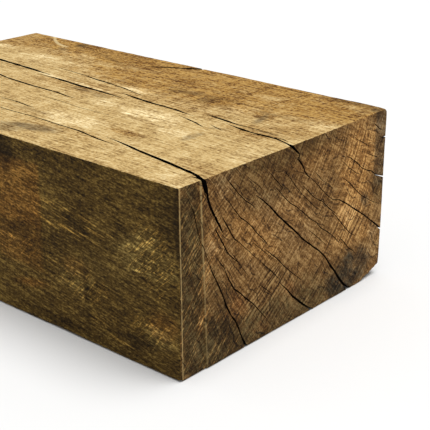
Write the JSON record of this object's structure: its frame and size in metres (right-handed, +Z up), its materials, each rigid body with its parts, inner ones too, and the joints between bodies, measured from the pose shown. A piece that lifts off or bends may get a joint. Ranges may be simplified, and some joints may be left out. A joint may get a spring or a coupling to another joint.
{
  "type": "railway sleeper",
  "caption": "Sawn oak railway sleeper block with drying checks, a shallow saw step on its cross-cut face and a broken bed corner.",
  "frame": {"origin": "middle of the bed face, which is the lowest face", "axes": "+X along the grain towards the checked cross-cut face, +Y across the laid face towards the broken bed corner, +Z up"},
  "size_m": [0.45, 0.26, 0.152],
  "materials": {
    "oak": "rough sawn, weathered, matt"
  },
  "bodies": {
    "root": {"sleeper": "oak"}
  },
  "joints": []
}
